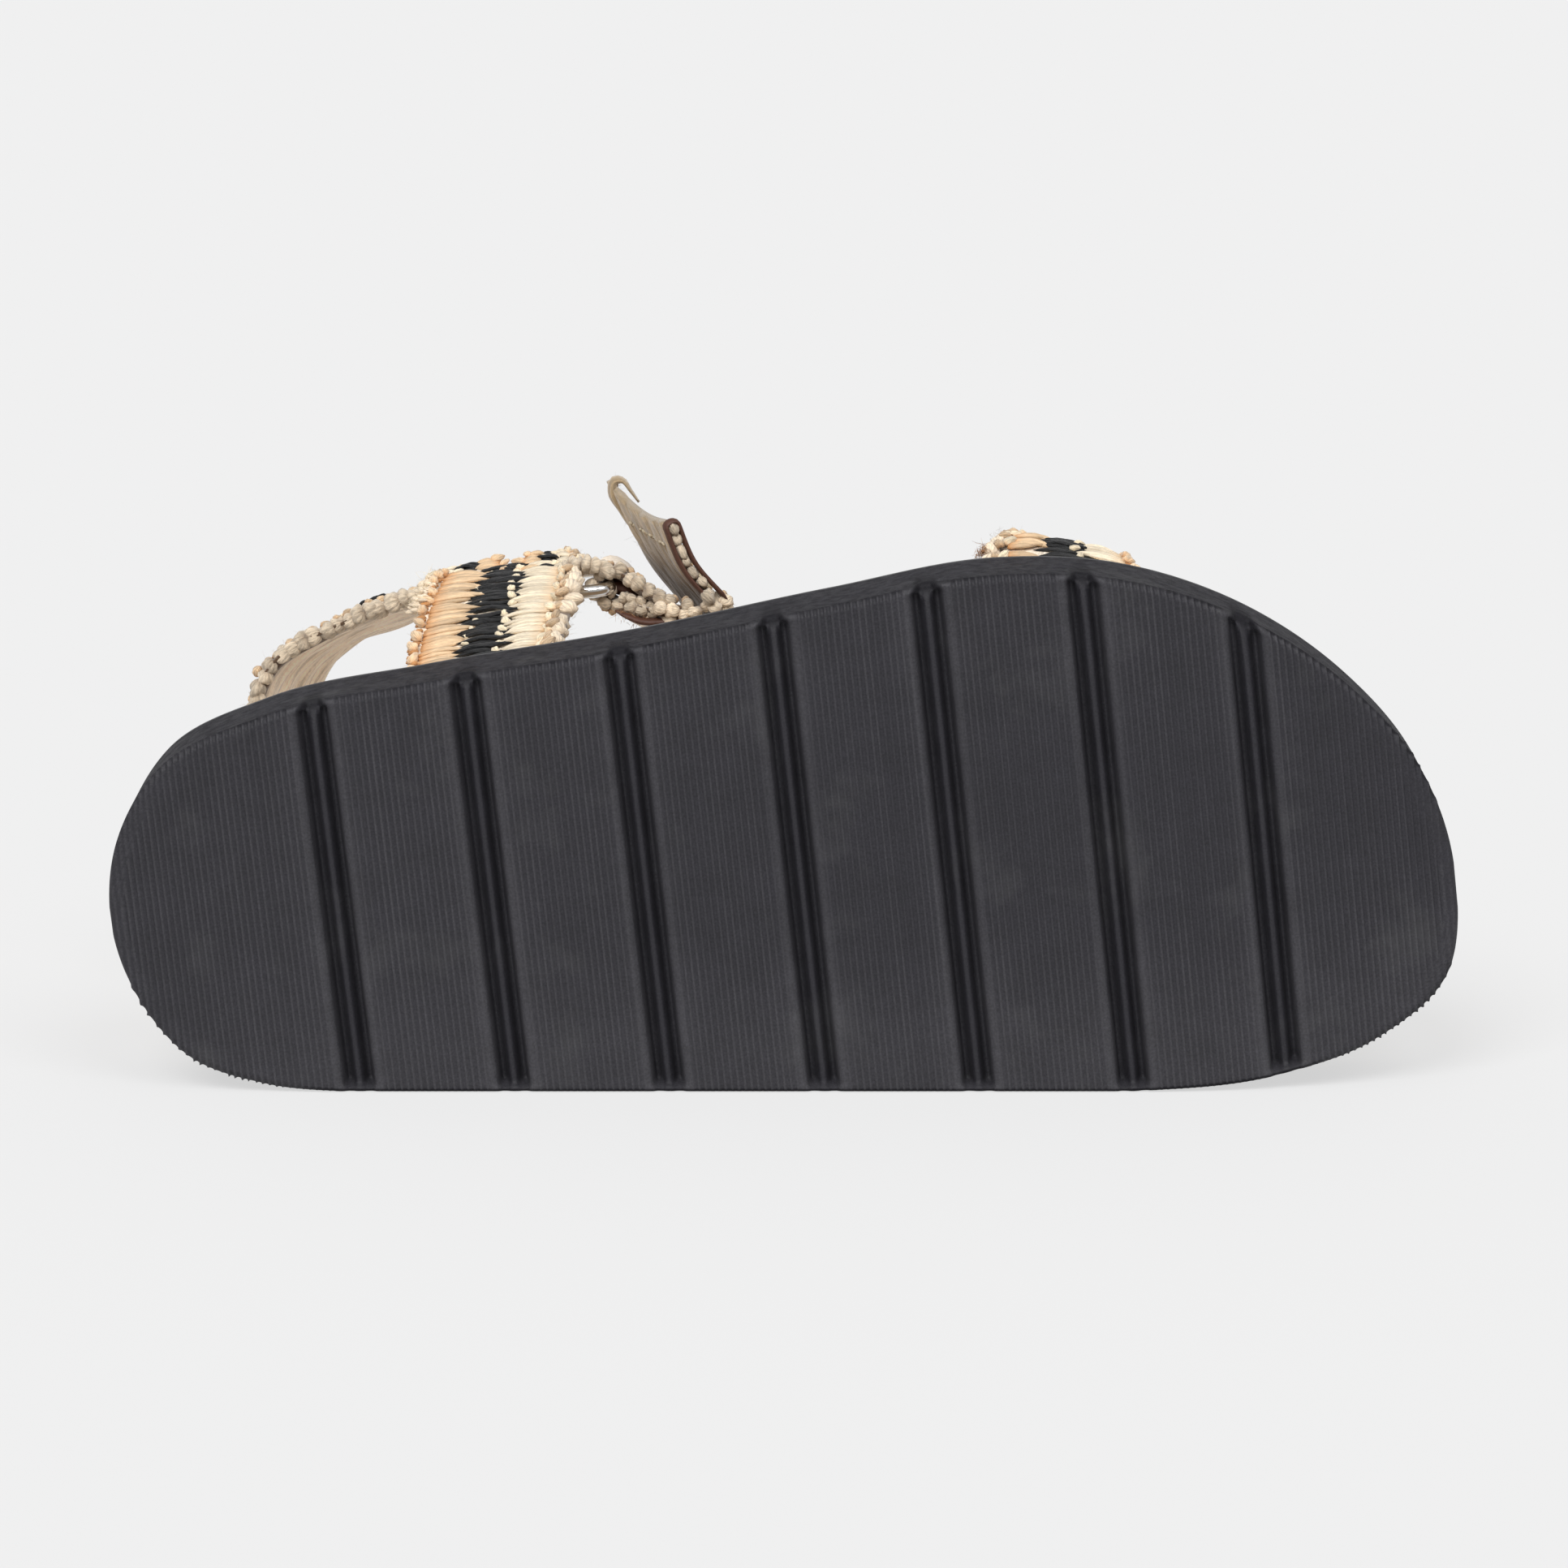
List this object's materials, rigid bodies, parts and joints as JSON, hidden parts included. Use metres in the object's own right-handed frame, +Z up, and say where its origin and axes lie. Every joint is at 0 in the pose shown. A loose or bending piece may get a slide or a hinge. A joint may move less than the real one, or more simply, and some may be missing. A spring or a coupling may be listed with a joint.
{
  "type": "strap sandal",
  "caption": "Flat sandal with a cross-troughed moulded sole, woven toe, heel and instep straps and a metal ring at the outer side, lying on its inner side.",
  "frame": {"origin": "middle of the part's bounding box in X and Y, on the floor that it lies on", "axes": "+X towards the toe, -Y the way the tread faces, +Z up, which is the shoe's outer side"},
  "size_m": [0.2628, 0.1094, 0.1057],
  "materials": {
    "sole_rubber": "matt dark grey moulded rubber foam with fine ribs across the tread",
    "footbed": "plain tan footbed with a fine grain",
    "woven_raffia": "natural and black raffia stitched in stripes, with braided jute edges and a beige lining",
    "nickel": "polished nickel wire"
  },
  "bodies": {
    "root": {"sole": "sole_rubber", "insole": "footbed", "toe_strap": "woven_raffia", "rear_upper": "woven_raffia", "ring": "nickel", "ring_strap": "woven_raffia"}
  },
  "joints": []
}
